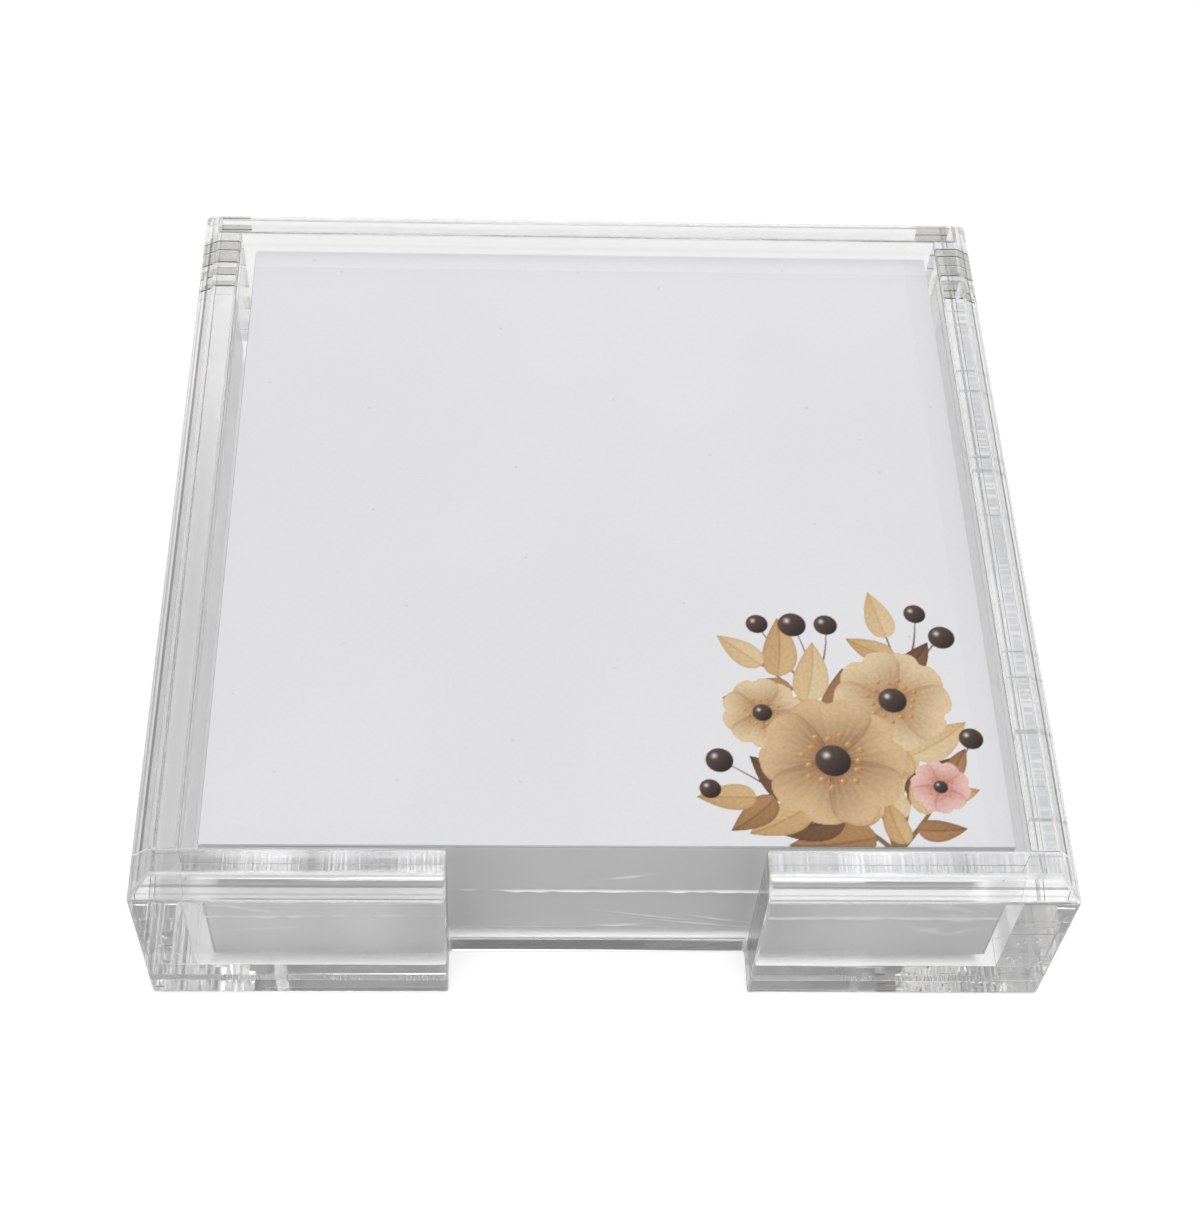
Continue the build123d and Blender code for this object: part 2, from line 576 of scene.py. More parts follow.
def cementBubbles():
    # beads strewn over the seams between the side walls' front ends and the front walls
    chance = np.random.default_rng(bubbleShape["seed"])
    count = bubbleShape["count"]
    radii = chance.uniform(*bubbleShape["radius"], 2 * count)
    across = chance.uniform(*bubbleShape["across"], 2 * count)
    outward = np.repeat([-1.0, 1.0], count)
    centres = np.c_[outward * (halfOuter - across * (halfOuter + notchBack)),
                    np.full(2 * count, notchBack) - bubbleShape["sunk"] * radii,
                    chance.uniform(*bubbleShape["reach"], 2 * count)]
    vertices, faces = ballGrid(centres, radii, bubbleShape["rings"], bubbleShape["sides"])
    piece = newPiece("cementBubbles", vertices, faces, [trappedAir()])
    piece.data.polygons.foreach_set("use_smooth", np.ones(len(faces), bool))
    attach(piece, "tray")


cementBubbles()
print("seams seeded with trapped air")

# Note cards

topNode = "note_card_50"
for node, card in frame["nodes"].items():
    if node.startswith("note_card") and node != topNode:
        card.data.materials.clear()
        card.data.materials.append(cardPaper)
print("cards dressed")

# Printed top card

printShape = {
    "size": (40.0, 40.0),  # mm, across and back from the card's front edge
    "rightMargin": 1.0,  # mm, from the card's right edge
    "dot": 0.15,  # mm, spacing of the points that carry ink
    "coarse": 4.0,  # mm, spacing of the points elsewhere
    "edge": 0.12,  # mm, softness of an inked edge
    "outside": -1.0,  # mm, depth of a point that lies beyond a shape's ends
    "leastCover": 1e-6,  # ink thinner than this is none
    "seed": 7,
}
inkColours = {
    "sand": ("#E6CFA6", "#CFA36B"),
    "tan": ("#DDBB8A", "#B98752"),
    "brown": ("#B88A5C", "#7F5838"),
    "umber": ("#86603F", "#4E3324"),
    "caramel": ("#8A5C36", "#DDBB90"),
    "honey": ("#A9784A", "#E8CDA6"),
    "blush": ("#C9716E", "#F0C6BC"),
    "stem": ("#8C6A45", "#8C6A45"),
    "berry": ("#5A4238", "#241815"),
    "stamen": ("#D9A860", "#B87E3C"),
}
# stems: start, control and end points in mm on the print; leaves on each, their length, and their inks
# in turn
sprigStems = [
    {"points": ((26, -1), (23, 17), (11, 27)), "leaves": 11, "length": 12.5,
     "inks": ("tan", "sand", "brown")},
    {"points": ((26, -1), (32, 15), (28, 31.5)), "leaves": 10, "length": 10.5,
     "inks": ("sand", "umber", "tan")},
    {"points": ((26, -1), (19, 7), (9, 7)), "leaves": 8, "length": 10.5,
     "inks": ("brown", "tan", "umber")},
    {"points": ((26, -1), (30, 3), (34, 10)), "leaves": 5, "length": 6.5,
     "inks": ("tan", "brown", "sand")},
]
blossoms = [
    {"centre": (27.8, 21.6), "radius": 7.8, "turn": 50, "ink": "honey"},
    {"centre": (10.6, 19.6), "radius": 5.4, "turn": 30, "ink": "honey"},
    {"centre": (19.2, 12.4), "radius": 9.6, "turn": 20, "ink": "caramel"},
    {"centre": (32.6, 8.6), "radius": 3.9, "turn": 5, "ink": "blush"},
]
# twigs: start, control and end points, and the size of the berry at the end
berryTwigs = [
    {"points": ((17, 21.5), (18, 28), (15.5, 33.5)), "radius": 1.9},
    {"points": ((17.4, 23.5), (20, 28), (20.0, 33.5)), "radius": 1.6},
    {"points": ((15.5, 25.3), (12, 31), (10.8, 33.6)), "radius": 1.5},
    {"points": ((30.9, 25.5), (33, 29.5), (35.4, 31.6)), "radius": 1.8},
    {"points": ((30.6, 27.5), (32, 31), (32.2, 35.4)), "radius": 1.5},
    {"points": ((13.5, 6.2), (9, 10), (4.6, 12.4)), "radius": 1.8},
    {"points": ((11, 6.3), (6, 5), (3.2, 8.2)), "radius": 1.4},
    {"points": ((33, 9), (36, 12), (37.4, 15.8)), "radius": 1.6},
]
# how each shape is drawn: lengths in mm, shades as shares of the way from one ink to the other
leafStyle = {
    "fullness": 1.3,  # times the given width
    "tipShade": 0.25,
    "sideShade": 0.25,  # one half of the blade is a shade deeper
    "midrib": 0.13,
    "midribShade": 0.5,
    "veinPitch": 1.1,
    "veinSlant": 1.1,
    "veinSharpness": 8,
    "veinShade": 0.2,
    "rim": 0.22,
    "rimShade": 0.45,
}
petalStyle = {
    "notchDepth": 0.10,  # in the tip, share of the length
    "notchWidth": 0.11,
    "broadness": 1.7,  # the higher, the nearer to the tip it is broadest
    "tipShade": 1.15,
    "tipRise": 0.8,
    "streaks": 34,  # in a full turn
    "streakStart": 0.05,
    "streakShade": 0.22,
    "rim": 0.16,
    "rimShade": 0.35,
}
berryStyle = {
    "shade": 0.45,  # in the middle
    "shadeSlope": 0.5,
    "lightPlace": 0.35,  # share of the radius, up and to the left
    "lightSpread": 0.03,
    "light": 0.75,
}
stemStyle = {
    "stemWidth": 0.38,
    "stemSteps": 160,
    "twigWidth": 0.2,
    "twigSteps": 90,
    "taper": 0.6,  # share of the width that is lost by the end
    "far": 9.0,  # no point is counted as further from a stem than this
}
sprigStyle = {
    "firstLeaf": 0.16,  # share of the stem below it
    "leafAngle": 48,  # degrees from the stem
    "leafSway": (-9, 9),
    "leafShrink": 0.035,  # share that each leaf is shorter than the last
    "leafLength": (0.88, 1.1),
    "leafWidth": 0.5,  # share of its length
    "leafBend": 0.16,
    "petals": 5,
    "petalSway": (-0.06, 0.06),  # radians
    "petalWidth": 1.12,  # shares of the flower's radius, as are the next three
    "stamenReach": (0.34, 0.42),  # in turn
    "stamenSize": 0.045,
    "heart": 0.24,
    "stamens": 15,
}


class SprigPrint:
    # ink laid shape over shape on an array of points: each shape covers with a soft edge and has a colour
    # of its own
    def __init__(self, x, y):
        self.x, self.y = x, y
        self.rgb = np.ones(x.shape + (3,))
        self.cover = np.zeros(x.shape)

    def lay(self, depth, rgb):
        # depth is the distance inside the shape's edge in mm
        cover = np.clip(0.5 + depth / printShape["edge"], 0, 1)
        total = cover + self.cover * (1 - cover)
        weight = (cover / np.maximum(total, printShape["leastCover"]))[..., None]
        self.rgb = self.rgb * (1 - weight) + rgb * weight
        self.cover = total

    def local(self, base, angle):
        # along and across the direction angle, from the base point
        dx, dy = self.x - base[0], self.y - base[1]
        return dx * cos(angle) + dy * sin(angle), dy * cos(angle) - dx * sin(angle)

    def leaf(self, base, angle, length, width, bend, ink):
        # half width: root of u times 1-u, so the base is round and the tip sharp; the midrib bends
        # as a parabola
        style = leafStyle
        along, across = self.local(base, angle)
        u = np.clip(along / length, 0, 1)
        across = across - bend * length * u * (1 - u)
        half = width * style["fullness"] * np.sqrt(u) * (1 - u)
        onBlade = (along > 0) & (along < length)
        depth = np.where(onBlade, half - np.abs(across), printShape["outside"])
        pale, deep = inkRgb(ink)
        turns = (along - style["veinSlant"] * np.abs(across)) / style["veinPitch"]
        shade = style["tipShade"] * u + style["sideShade"] * (0.5 + 0.5 * np.sign(across))
        shade += style["midribShade"] * np.exp(-(across / style["midrib"]) ** 2)
        shade += style["veinShade"] * np.maximum(np.cos(2 * pi * turns), 0) ** style["veinSharpness"]
        shade += style["rimShade"] * np.exp(-np.maximum(depth, 0) / style["rim"])
        self.lay(depth, pale + (deep - pale) * np.clip(shade, 0, 1)[..., None])

    def petal(self, base, angle, length, width, ink):
        # half width: root of the sine of a power of u, broad near the tip, which has a shallow notch
        style = petalStyle
        along, across = self.local(base, angle)
        notch = 1 - style["notchDepth"] * np.exp(-(across / (style["notchWidth"] * length)) ** 2)
        u = np.clip(along / (length * notch), 0, 1)
        half = 0.5 * width * np.sqrt(np.sin(pi * u ** style["broadness"]))
        onPetal = (along > 0) & (along < length * notch)
        depth = np.where(onPetal, half - np.abs(across), printShape["outside"])
        deep, pale = inkRgb(ink)
        heading = np.arctan2(across, np.maximum(along, style["streakStart"]))
        streak = 0.5 + 0.5 * np.cos(style["streaks"] * heading)
        shade = style["tipShade"] * u ** style["tipRise"] - style["streakShade"] * streak * (1 - u)
        shade -= style["rimShade"] * np.exp(-np.maximum(depth, 0) / style["rim"])
        self.lay(depth, deep + (pale - deep) * np.clip(shade, 0, 1)[..., None])

    def dot(self, centre, radius, ink):
        # a ball: lit towards the upper left, with a small highlight
        style = berryStyle
        dx, dy = (self.x - centre[0]) / radius, (self.y - centre[1]) / radius
        pale, deep = inkRgb(ink)
        shade = np.clip(style["shade"] + style["shadeSlope"] * (dx - dy), 0, 1)
        fromLight = (dx + style["lightPlace"]) ** 2 + (dy - style["lightPlace"]) ** 2
        light = np.exp(-fromLight / style["lightSpread"])[..., None]
        rgb = pale + (deep - pale) * shade[..., None]
        self.lay(radius * (1 - np.hypot(dx, dy)), rgb + (1 - rgb) * style["light"] * light)

    def stem(self, path, width, ink):
        # distance from the nearest of the path's points, the stem tapering to its end
        gap = np.full(self.x.shape, stemStyle["far"])
        for k, (px, py) in enumerate(path):
            half = width * (1 - stemStyle["taper"] * k / len(path))
            gap = np.minimum(gap, np.hypot(self.x - px, self.y - py) - half)
        self.lay(-gap, inkRgb(ink)[0])


def inkRgb(ink):
    return [np.array(linearColour(colour)[:3]) for colour in inkColours[ink]]


def bezier(points, t):
    # quadratic curve through its start and end, pulled to its control point, and its direction
    a, b, c = (np.array(point, float) for point in points)
    t = np.asarray(t)[:, None]
    place = (1 - t) ** 2 * a + 2 * t * (1 - t) * b + t ** 2 * c
    heading = 2 * (1 - t) * (b - a) + 2 * t * (c - b)
    return place, np.arctan2(heading[:, 1], heading[:, 0])


def drawSprig(x, y):
    # a spray of leaves on four stems, with blossoms over them and berries on twigs
    style = sprigStyle
    sprig = SprigPrint(x, y)
    chance = np.random.default_rng(printShape["seed"])
    for kind, lines in (("stem", sprigStems), ("twig", berryTwigs)):
        for line in lines:
            path = bezier(line["points"], np.linspace(0, 1, stemStyle[kind + "Steps"]))[0]
            sprig.stem(path, stemStyle[kind + "Width"], "stem")
    for stem in sprigStems:
        at, headings = bezier(stem["points"], np.linspace(style["firstLeaf"], 1.0, stem["leaves"]))
        for k, (base, heading) in enumerate(zip(at, headings)):
            last = k == stem["leaves"] - 1
            side = 0 if last else 1 - 2 * (k % 2)
            angle = heading + side * radians(style["leafAngle"] + chance.uniform(*style["leafSway"]))
            shrunk = stem["length"] * (1.0 - style["leafShrink"] * k)
            length = shrunk * chance.uniform(*style["leafLength"])
            ink = stem["inks"][k % len(stem["inks"])]
            sprig.leaf(base, angle, length, style["leafWidth"] * length, style["leafBend"] * side, ink)
    for twig in berryTwigs:
        sprig.dot(twig["points"][-1], twig["radius"], "berry")
    for flower in blossoms:
        radius, centre = flower["radius"], np.array(flower["centre"])
        for k in range(style["petals"]):
            angle = radians(flower["turn"] + 360 / style["petals"] * k) + chance.uniform(*style["petalSway"])
            sprig.petal(centre, angle, radius, style["petalWidth"] * radius, flower["ink"])
        for k, angle in enumerate(np.linspace(0, 2 * pi, style["stamens"], endpoint=False)):
            reach = radius * style["stamenReach"][k % 2]
            tip = centre + reach * np.array([cos(angle), sin(angle)])
            sprig.dot(tip, style["stamenSize"] * radius, "stamen")
        sprig.dot(centre, style["heart"] * radius, "berry")
    return sprig


coatedFinish = {
    "white": "#F1F1F4",
    "shade": "#EAEAED",
    "fibre": 0.5 * mm,
    "fibreDetail": 4.0,
    "inkReach": (0.3, 0.7),
    "inkTone": (0.9, 1.06),  # the fibre under the ink makes it this much darker and paler
    "cloud": 38 * mm,  # painted sheen: slow unevenness of it painted into the colour
    "cloudDetail": 2.0,
    "cloudReach": (0.35, 0.65),
    "cloudTone": (0.985, 1.012),
    "border": 3.3 * mm,  # bands along the right and back sides: darker on the right, and lighter at the back as painted light against the back wall's shade
    "borderTone": (0.970, 1.06),
    "borderEdge": 0.15 * mm,
    "speck": 19 * mm,  # specks of lint lie about this far apart
    "speckSize": 0.010,  # share of that
    "speckEdge": 1.4,  # a speck is gone at this many of its sizes
    "speckTone": 0.90,
    "roughness": 0.42,
    "coat": 0.25,
    "coatRoughness": 0.18,
    "cockle": 24 * mm,  # width of the card's slow waves
    "cockleDetail": 1.0,
    "cockleHeight": 0.05 * mm,
}


def coatedStock(right, back):
    # clay coated cover stock, litho printed: cool white with a soft sheen, slow unevenness of it painted into
    # the colour, a darker band on the right and a band of painted light at the back, a few specks, ink a
    # little grainy
    material, tree, out = newMaterial("coatedStockPrinted")
    place = addNode(tree, "ShaderNodeTexCoord").outputs["Object"]
    fibre = grain(tree, coatedFinish["fibre"], coatedFinish["fibreDetail"])
    paper = addNode(tree, "ShaderNodeMix", {
        "Factor": fibre, "A": linearColour(coatedFinish["white"]),
        "B": linearColour(coatedFinish["shade"])}, data_type="RGBA")
    ink = addNode(tree, "ShaderNodeAttribute", attribute_name="ink")
    inkTone = addNode(tree, "ShaderNodeMapRange", {
        "Value": fibre, **ends(coatedFinish["inkReach"], coatedFinish["inkTone"])})
    inked = addNode(tree, "ShaderNodeVectorMath", {0: ink.outputs["Color"], 1: inkTone.outputs["Result"]},
                    operation="MULTIPLY")
    colour = addNode(tree, "ShaderNodeMix", {
        "Factor": ink.outputs["Alpha"], "A": paper.outputs["Result"], "B": inked.outputs["Vector"]},
        data_type="RGBA").outputs["Result"]
    cloud = grain(tree, coatedFinish["cloud"], coatedFinish["cloudDetail"])
    sides = addNode(tree, "ShaderNodeSeparateXYZ", {0: place})
    lint = addNode(tree, "ShaderNodeTexVoronoi", {"Vector": place, "Scale": 1 / coatedFinish["speck"]},
                   voronoi_dimensions="2D")
    size = coatedFinish["speckSize"]
    # each tone: what it follows, from where to where, and how pale it is at these ends
    tones = [
        # painted sheen over the card
        (cloud, coatedFinish["cloudReach"], coatedFinish["cloudTone"]),
        (lint.outputs["Distance"], (size, coatedFinish["speckEdge"] * size),
         (coatedFinish["speckTone"], 1.0)),
    ]
    # bands on the right and back sides: darker on the right, painted light at the back
    for axis, edge, tone in zip("XY", (right, back), coatedFinish["borderTone"]):
        start = edge - coatedFinish["border"]
        tones.append((sides.outputs[axis], (start, start + coatedFinish["borderEdge"]), (1.0, tone)))
    for value, reach, levels in tones:
        level = addNode(tree, "ShaderNodeMapRange", {"Value": value, **ends(reach, levels)})
        colour = addNode(tree, "ShaderNodeVectorMath", {0: colour, "Scale": level.outputs["Result"]},
                         operation="SCALE").outputs["Vector"]
    cockle = addNode(tree, "ShaderNodeBump", {
        "Height": grain(tree, coatedFinish["cockle"], coatedFinish["cockleDetail"]),
        "Distance": coatedFinish["cockleHeight"]})
    shader = addNode(tree, "ShaderNodeBsdfPrincipled", {
        "Base Color": colour, "Roughness": coatedFinish["roughness"],
        "Coat Weight": coatedFinish["coat"], "Coat Roughness": coatedFinish["coatRoughness"],
        "Normal": cockle.outputs["Normal"], "Coat Normal": cockle.outputs["Normal"]})
    tree.links.new(shader.outputs["BSDF"], out.inputs["Surface"])
    return material


def gridLines(low, high, fineLow, fineHigh):
    # points along one side, close together over the print and far apart elsewhere
    fine = np.linspace(fineLow, fineHigh, round((fineHigh - fineLow) / printShape["dot"]) + 1)
    coarse = np.linspace(low, high, round((high - low) / printShape["coarse"]) + 1)
    clear = (coarse < fineLow - printShape["dot"]) | (coarse > fineHigh + printShape["dot"])
    return np.concatenate([coarse[clear & (coarse < fineLow)], fine, coarse[clear & (coarse > fineHigh)]])


def printedCard():
    # flat grid of points over the card's top, its rim carried down to the underside; each point carries
    # its ink
    low, high = (np.array(corner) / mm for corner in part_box(topNode))
    across = high[0] - printShape["rightMargin"] - printShape["size"][0]
    xLines = gridLines(low[0], high[0], across, across + printShape["size"][0])
    yLines = gridLines(low[1], high[1], low[1], low[1] + printShape["size"][1])
    x, y = np.meshgrid(xLines, yLines)
    rows, columns = x.shape
    index = np.arange(rows * columns).reshape(rows, columns)
    quads = np.stack([index[:-1, :-1], index[:-1, 1:], index[1:, 1:], index[1:, :-1]], -1).reshape(-1, 4)
    rim = np.concatenate([index[0, :-1], index[:-1, -1], index[-1, :0:-1], index[:0:-1, 0]])
    under = rows * columns + np.arange(len(rim))
    skirt = np.stack([under, np.roll(under, -1), np.roll(rim, -1), rim], 1)
    top = np.c_[x.ravel(), y.ravel(), np.full(x.size, high[2])]
    foot = np.c_[top[rim, :2], np.full(len(rim), low[2])]
    faces = np.concatenate([quads, skirt]).tolist() + [under[::-1].tolist()]
    stock = coatedStock(high[0] * mm, high[1] * mm)
    piece = newPiece("topCardPrinted", np.concatenate([top, foot]) * mm, faces, [stock])
    sprig = drawSprig(x - across, y - low[1])
    ink = np.zeros((len(top) + len(foot), 4), np.float32)
    ink[:len(top)] = np.concatenate([sprig.rgb, sprig.cover[..., None]], -1).reshape(-1, 4)
    piece.data.attributes.new("ink", "FLOAT_COLOR", "POINT").data.foreach_set("color", ink.ravel())
    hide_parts(topNode)
    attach(piece, "top_card")
    print("top card printed:", len(faces), "faces")


printedCard()

# Film sleeve round the stack

sleeveShape = {
    "gap": 0.14 * mm,  # from the cards' edges
    "cornerRadius": 0.5 * mm,
    "cornerSteps": 6,
    "sideSteps": (60, 60, 60, 320),  # on the right, the back, the left and the front
    "rows": (60, 80),  # below and above the height where the wrinkles end
    "wrinkleTop": 10.5 * mm,
    "endGap": 0.12 * mm,  # short of the base below and of the top card above
    "frontFacing": -0.99,  # a stretch that looks to the front further than this is wrinkled
    "slack": 0.10 * mm,  # how far it swells at half height
    "seamHeight": 14.7 * mm,
    "seamDrift": 0.25 * mm,
    "seamProud": 0.4 * mm,
    "seamWidth": 0.14 * mm,
    "seamSpan": 4,  # seam widths to each side that have rows of their own
    "seamRows": 25,
    "seamBreaks": (-0.4, 1.4),  # the seam is gone below 0 and whole above 1
    "seamWhite": 0.9,  # sealed and creased film is whitened by this much, painted glints along the seam and the wrinkles
    "wrinkleWhite": 0.5,
    "haze": 0.5,  # and slack film is this milky over the cards' edges
    "hazeBehind": 0.85,  # more so behind the front walls, painted light that lifts the shade they cast on the stack
    "hazeReach": 8 * mm,  # over this far from the notch
    "hazeTone": (0.85, 1.15),
    "waves": {"drift": 9, "breaks": 160, "slack": 24, "haze": 40},  # sines round the stack in each
    "seed": 3,
}
# crumpled film by the front corners: reach across from the middle and in height, sizes in mm,
# tilt in degrees
sleeveCrumple = {
    "seed": 12,
    "count": 8,  # at each corner
    "corners": [{"across": (-48.5, -41.0), "height": (11.0, 23.0)},
                {"across": (39.0, 47.5), "height": (7.0, 21.0)}],
    "length": (1.2, 3.0),
    "width": (0.25, 0.45),
    "tilt": (-28, 28),
    "proud": 0.16,
    # whitening of each fold: painted glint
    "white": 0.2,
}
# wrinkles on the front: place across from the middle, height, half length, half width, all in mm,
# tilt in degrees
sleeveWrinkles = [
    {"across": 12.5, "height": 5.7, "length": 6.5, "width": 0.14, "tilt": -11, "proud": 0.26},
    {"across": 8.0, "height": 7.3, "length": 6.0, "width": 0.12, "tilt": -12, "proud": 0.24},
    {"across": 15.5, "height": 6.8, "length": 3.6, "width": 0.12, "tilt": -15, "proud": 0.22},
    {"across": 2.6, "height": 5.0, "length": 3.0, "width": 0.16, "tilt": 3, "proud": 0.28},
    {"across": 3.0, "height": 18.3, "length": 2.2, "width": 0.30, "tilt": 12, "proud": 0.20},
]
filmFinish = {
    "tint": "#FBFBFB",
    "white": "#FFFFFF",  # where it is slack, and where it stands for painted glints on creases and painted light behind the front walls
    "ior": 1.49,
    "roughness": 0.08,
    "ripple": 3 * mm,
    "rippleDetail": 3.0,
    "rippleHeight": 0.05 * mm,
}


def clearFilm():
    # oriented polypropylene film, heat sealed: all but invisible, with thin sharp glints where it bends, and
    # white painted in as glints on the seam and wrinkles and as light behind the front walls
    material, tree, out = newMaterial("polypropyleneFilm")
    bump = addNode(tree, "ShaderNodeBump", {
        "Height": grain(tree, filmFinish["ripple"], filmFinish["rippleDetail"]),
        "Distance": filmFinish["rippleHeight"]})
    gloss = addNode(tree, "ShaderNodeBsdfGlossy", {
        "Roughness": filmFinish["roughness"], "Normal": bump.outputs["Normal"]})
    clear = addNode(tree, "ShaderNodeBsdfTransparent", {"Color": linearColour(filmFinish["tint"])})
    behind = addNode(tree, "ShaderNodeNewGeometry").outputs["Backfacing"]
    index = addNode(tree, "ShaderNodeMapRange", {
        "Value": behind, **ends((0.0, 1.0), (filmFinish["ior"], 1 / filmFinish["ior"]))})
    share = addNode(tree, "ShaderNodeFresnel", {
        "IOR": index.outputs["Result"], "Normal": bump.outputs["Normal"]})
    both = addNode(tree, "ShaderNodeMixShader", {
        0: share.outputs[0], 1: clear.outputs[0], 2: gloss.outputs[0]})
    white = addNode(tree, "ShaderNodeBsdfDiffuse", {"Color": linearColour(filmFinish["white"])})
    crease = addNode(tree, "ShaderNodeAttribute", attribute_name="crease").outputs["Fac"]
    film = addNode(tree, "ShaderNodeMixShader", {0: crease, 1: both.outputs[0], 2: white.outputs[0]})
    tree.links.new(film.outputs[0], out.inputs["Surface"])
    return material


def slowWave(along, length, waves, chance):
    # sum of a few sines with chance phases, round the sleeve, between 0 and 1
    k = np.arange(1, waves + 1)
    phase = chance.uniform(0, 2 * pi, waves)
    wave = (np.sin(2 * pi * np.outer(along / length, k) + phase) / np.sqrt(k)).sum(1)
    return (wave - wave.min()) / (wave.max() - wave.min())


def crumpledFilm():
    # short folds strewn evenly over the reach at each corner
    chance = np.random.default_rng(sleeveCrumple["seed"])
    folds = []
    for reach in sleeveCrumple["corners"]:
        for _ in range(sleeveCrumple["count"]):
            fold = {key: chance.uniform(*reach[key]) for key in ("across", "height")}
            fold.update({key: chance.uniform(*sleeveCrumple[key]) for key in ("length", "width", "tilt")})
            folds.append(dict(fold, proud=sleeveCrumple["proud"], white=sleeveCrumple["white"]))
    return folds


def sleeveOutline():
    # the stack's outline with round corners, a little off it: points, and which way each one faces
    low, high = (np.array(corner)[:2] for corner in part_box("note_card_49"))
    middle = (low + high) / 2
    radius = sleeveShape["cornerRadius"]
    straight = (high - low) / 2 + sleeveShape["gap"] - radius
    turn = np.linspace(0, pi / 2, sleeveShape["cornerSteps"] + 1)
    corners = middle + straight * np.array([(1, -1), (1, 1), (-1, 1), (-1, -1)])
    places, normals = [], []
    for k, steps in enumerate(sleeveShape["sideSteps"]):
        angle = turn + (k - 1) * pi / 2
        facing = np.c_[np.cos(angle), np.sin(angle)]
        arc = corners[k] + facing * radius
        following = corners[(k + 1) % 4] + facing[-1] * radius
        share = np.linspace(0, 1, steps + 1)[1:-1, None]
        places += [arc, arc[-1] + (following - arc[-1]) * share]
        normals += [facing, np.repeat(facing[-1:], len(share), 0)]
    return np.concatenate(places), np.concatenate(normals)


def filmSleeve():
    # the outline carried up; each point stands off by slack, seam and wrinkles
    places, normals = sleeveOutline()
    step = np.linalg.norm(np.roll(places, -1, 0) - places, axis=1)
    along = np.concatenate([[0], np.cumsum(step)[:-1]])
    chance = np.random.default_rng(sleeveShape["seed"])
    waves = {key: slowWave(along, step.sum(), count, chance) for key, count in sleeveShape["waves"].items()}
    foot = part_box("note_card_01")[0].z + sleeveShape["endGap"]
    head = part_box("note_card_49")[1].z - sleeveShape["endGap"]
    seamAt, seamWidth, span = (sleeveShape[key] for key in ("seamHeight", "seamWidth", "seamSpan"))
    below, above = sleeveShape["rows"]
    rows = np.unique(np.concatenate([
        np.linspace(foot, sleeveShape["wrinkleTop"], below),
        seamAt + np.linspace(-span, span, sleeveShape["seamRows"]) * seamWidth,
        np.linspace(sleeveShape["wrinkleTop"], head, above)]))
    rise = ((rows - foot) / (head - foot))[:, None]
    drift = seamAt + sleeveShape["seamDrift"] * (waves["drift"] - 0.5)
    broken = np.clip(np.interp(waves["breaks"], (0, 1), sleeveShape["seamBreaks"]), 0, 1)
    seam = broken * np.exp(-((rows[:, None] - drift) / seamWidth) ** 2)
    off = sleeveShape["slack"] * np.sin(pi * rise) * waves["slack"] + sleeveShape["seamProud"] * seam
    onFront = normals[:, 1] < sleeveShape["frontFacing"]
    # whiter behind the front walls: painted light against the shade they cast on the stack
    behind = onFront * np.clip((np.abs(places[:, 0]) + notchSide) / sleeveShape["hazeReach"], 0, 1)
    haze = sleeveShape["haze"] + (sleeveShape["hazeBehind"] - sleeveShape["haze"]) * behind
    haze = haze * np.interp(waves["haze"], (0, 1), sleeveShape["hazeTone"])
    # the seam and the wrinkles whitened: painted glints
    crease = sleeveShape["seamWhite"] * seam + haze
    for wrinkle in sleeveWrinkles + crumpledFilm():
        tilt = radians(wrinkle["tilt"])
        dx = (places[:, 0] - wrinkle["across"] * mm)[None] / mm
        dz = (rows[:, None] - wrinkle["height"] * mm) / mm
        run = dx * cos(tilt) + dz * sin(tilt)
        side = dz * cos(tilt) - dx * sin(tilt)
        fold = np.exp(-(run / wrinkle["length"]) ** 2 - (side / wrinkle["width"]) ** 2)
        off = off + wrinkle["proud"] * mm * fold * onFront
        crease = crease + wrinkle.get("white", sleeveShape["wrinkleWhite"]) * fold * onFront
    grid = places[None] + normals[None] * off[..., None]
    heights = np.broadcast_to(rows[:, None, None], grid.shape[:2] + (1,))
    vertices = np.concatenate([grid, heights], -1).reshape(-1, 3)
    index = np.arange(len(vertices)).reshape(len(rows), len(places))
    after = np.roll(index, -1, 1)
    quads = np.stack([index[:-1], after[:-1], after[1:], index[1:]], -1).reshape(-1, 4)
    piece = newPiece("stackFilmSleeve", vertices, quads.tolist(), [clearFilm()])
    setValues(piece, "crease", np.clip(crease, 0, 1))
    piece.data.polygons.foreach_set("use_smooth", np.ones(len(quads), bool))
    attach(piece, "card_stack")
    print("film sleeve:", len(quads), "faces")


filmSleeve()

# Stage

stageSettings = {
    "floorGap": 0.2 * mm,
    "floorSide": 6.0,  # metres
    "floorColour": "#DADADA",
    "floorGlow": {"Is Camera Ray": 0.55, "Is Glossy Ray": 0.22},
    "throughGlow": 0.28,  # the same for what shows through the acrylic
    "underStack": 0.0,  # share of it that is left in the dark under the cards
    "stackEdge": (49.6 * mm, 51.4 * mm),
    "gathered": 0.26,  # more of the sweep's white shows through the walls where the tray gathers light on it
    "shaded": -0.18,  # and less of it outside, where the tray takes that light away
    "gatheredFrom": (-60 * mm, -25 * mm),  # both grow from the front left, by x and a share of y
    "gatheredSlant": 0.5,  # that share
    "gatheredFront": (-73 * mm, -49 * mm),  # the gathered light also grows from the front, by y
    "gatheredFade": 2 * mm,  # and ends this far outside the tray
    "worldDiffuse": 0.5,
    "skySeen": 1.0,
    "roomSeen": 0.1,  # dark room round the sweep, which draws the clear edges as thin dark lines
    "roomHeight": (0.25, 0.5),  # sine of the height where the room ends and where the sky is full
    "ceilingSeen": 0.15,  # a darker stretch of ceiling to the back, which the base's clear edges show
    "ceilingHeading": (0.0, 0.45, 0.89),
    "ceilingSpread": (0.86, 0.97),  # cosine of the angle from its middle, where it starts and is darkest
    "bounces": 64,  # enough for light to find its way out of the tray
}


